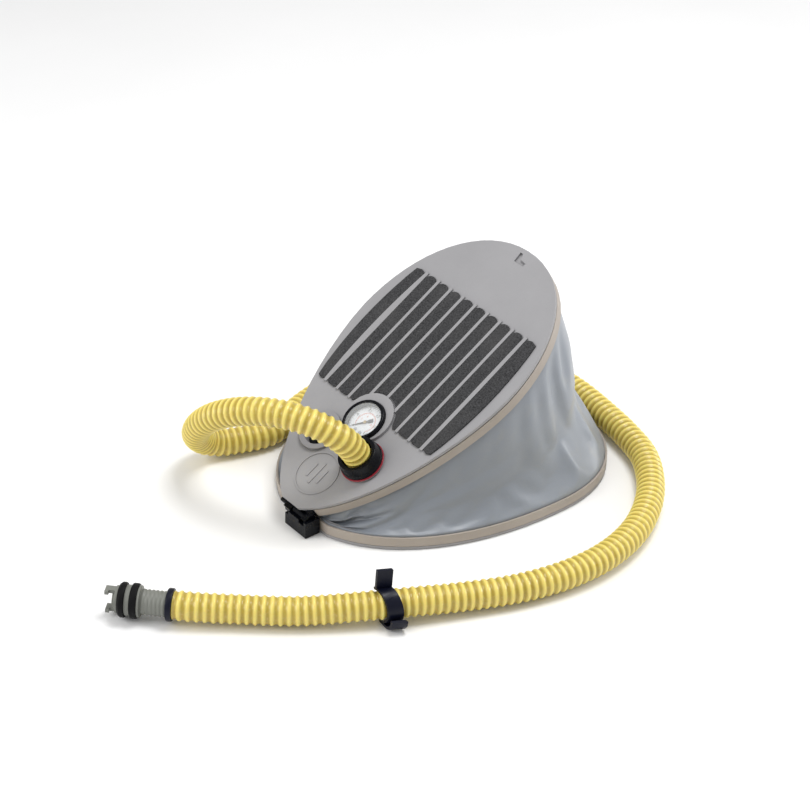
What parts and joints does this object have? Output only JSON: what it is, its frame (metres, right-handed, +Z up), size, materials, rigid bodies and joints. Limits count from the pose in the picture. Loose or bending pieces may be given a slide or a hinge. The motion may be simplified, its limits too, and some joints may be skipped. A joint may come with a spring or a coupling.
{
  "type": "foot air pump",
  "caption": "Hinged-pedal bellows foot pump with a dial pressure gauge, intake and outlet ports, and a corrugated hose with a bayonet valve adapter.",
  "frame": {"origin": "on the floor, at the middle of the base plate's flat underside", "axes": "+X from the hinge towards the pedal's heel, +Y to the left of a foot on the pedal, +Z up"},
  "size_m": [0.5291, 0.3676, 0.1822],
  "materials": {
    "grey_shell": "fine satin moulded shell, warm light grey",
    "beige_band": "satin, beige",
    "black_plastic": "semi-gloss, black",
    "navy_plastic": "satin, dark navy",
    "charcoal_rubber": "fine grain, charcoal",
    "red_rubber": "smooth, red",
    "coated_fabric": "smooth coated fabric, blue-grey, satin",
    "yellow_hose": "corrugated flexible plastic, yellow",
    "port_grey": "satin, mid grey",
    "adapter_grey": "satin, olive grey",
    "dial_white": "printed, off-white",
    "needle_black": "matt, near black",
    "clear_lens": "clear, polished",
    "brass": "plain",
    "steel": "plain drawn"
  },
  "bodies": {
    "base": {"base_plate": "grey_shell", "base_clamp_band": "beige_band", "hinge_block": "black_plastic", "hinge_pin": "black_plastic", "bellows": "coated_fabric", "return_spring": "steel", "air_hose_arch": "yellow_hose", "air_hose_run": "yellow_hose", "hose_clip": "navy_plastic", "hose_cuff": "navy_plastic", "adapter_body": "adapter_grey", "adapter_gasket_inner": "charcoal_rubber", "adapter_gasket_outer": "charcoal_rubber"},
    "pedal": {"pedal_plate": "grey_shell", "pedal_clamp_band": "beige_band", "hinge_leaf": "black_plastic", "tread_strip_01": "charcoal_rubber", "tread_strip_02": "charcoal_rubber", "tread_strip_03": "charcoal_rubber", "tread_strip_04": "charcoal_rubber", "tread_strip_05": "charcoal_rubber", "tread_strip_06": "charcoal_rubber", "tread_strip_07": "charcoal_rubber", "tread_strip_08": "charcoal_rubber", "tread_strip_09": "charcoal_rubber", "tread_strip_10": "charcoal_rubber", "gauge_case": "black_plastic", "gauge_nut": "brass", "gauge_dial": "dial_white", "gauge_screw_left": "steel", "gauge_screw_right": "steel", "gauge_lens": "clear_lens", "inlet_port": "port_grey", "inlet_seat": "black_plastic", "outlet_port": "port_grey", "outlet_seal_ring": "red_rubber", "hose_connector": "black_plastic"},
    "gauge_pointer": {"gauge_needle": "needle_black", "gauge_hub": "brass"},
    "inlet_valve": {"inlet_flap": "charcoal_rubber"},
    "outlet_valve": {"outlet_flap": "charcoal_rubber"}
  },
  "joints": [
    {"name": "pedal_hinge", "type": "hinge", "parent": "base", "child": "pedal", "pos_m": [-0.155, -0.0065, 0.012], "axis": [0, 1, 0], "range_deg": [0, 28], "stiffness_Nm_per_rad": 8, "springref_deg": -22.92, "deforming": ["bellows", "return_spring", "air_hose_arch"]},
    {"name": "gauge_pointer_turn", "type": "hinge", "parent": "pedal", "child": "gauge_pointer", "pos_m": [-0.08497, 0, 0.07611], "axis": [0.5299, 0, -0.848], "range_deg": [0, 270], "stiffness_Nm_per_rad": 0.0005, "springref_deg": -5.73},
    {"name": "inlet_flap_lift", "type": "slide", "parent": "pedal", "child": "inlet_valve", "axis": [0.5299, 0, -0.848], "range_m": [0, 0.002], "stiffness_N_per_m": 100, "springref_m": -0.0005},
    {"name": "outlet_flap_lift", "type": "slide", "parent": "pedal", "child": "outlet_valve", "axis": [-0.5299, 0, 0.848], "range_m": [0, 0.002], "stiffness_N_per_m": 100, "springref_m": -0.0005}
  ]
}
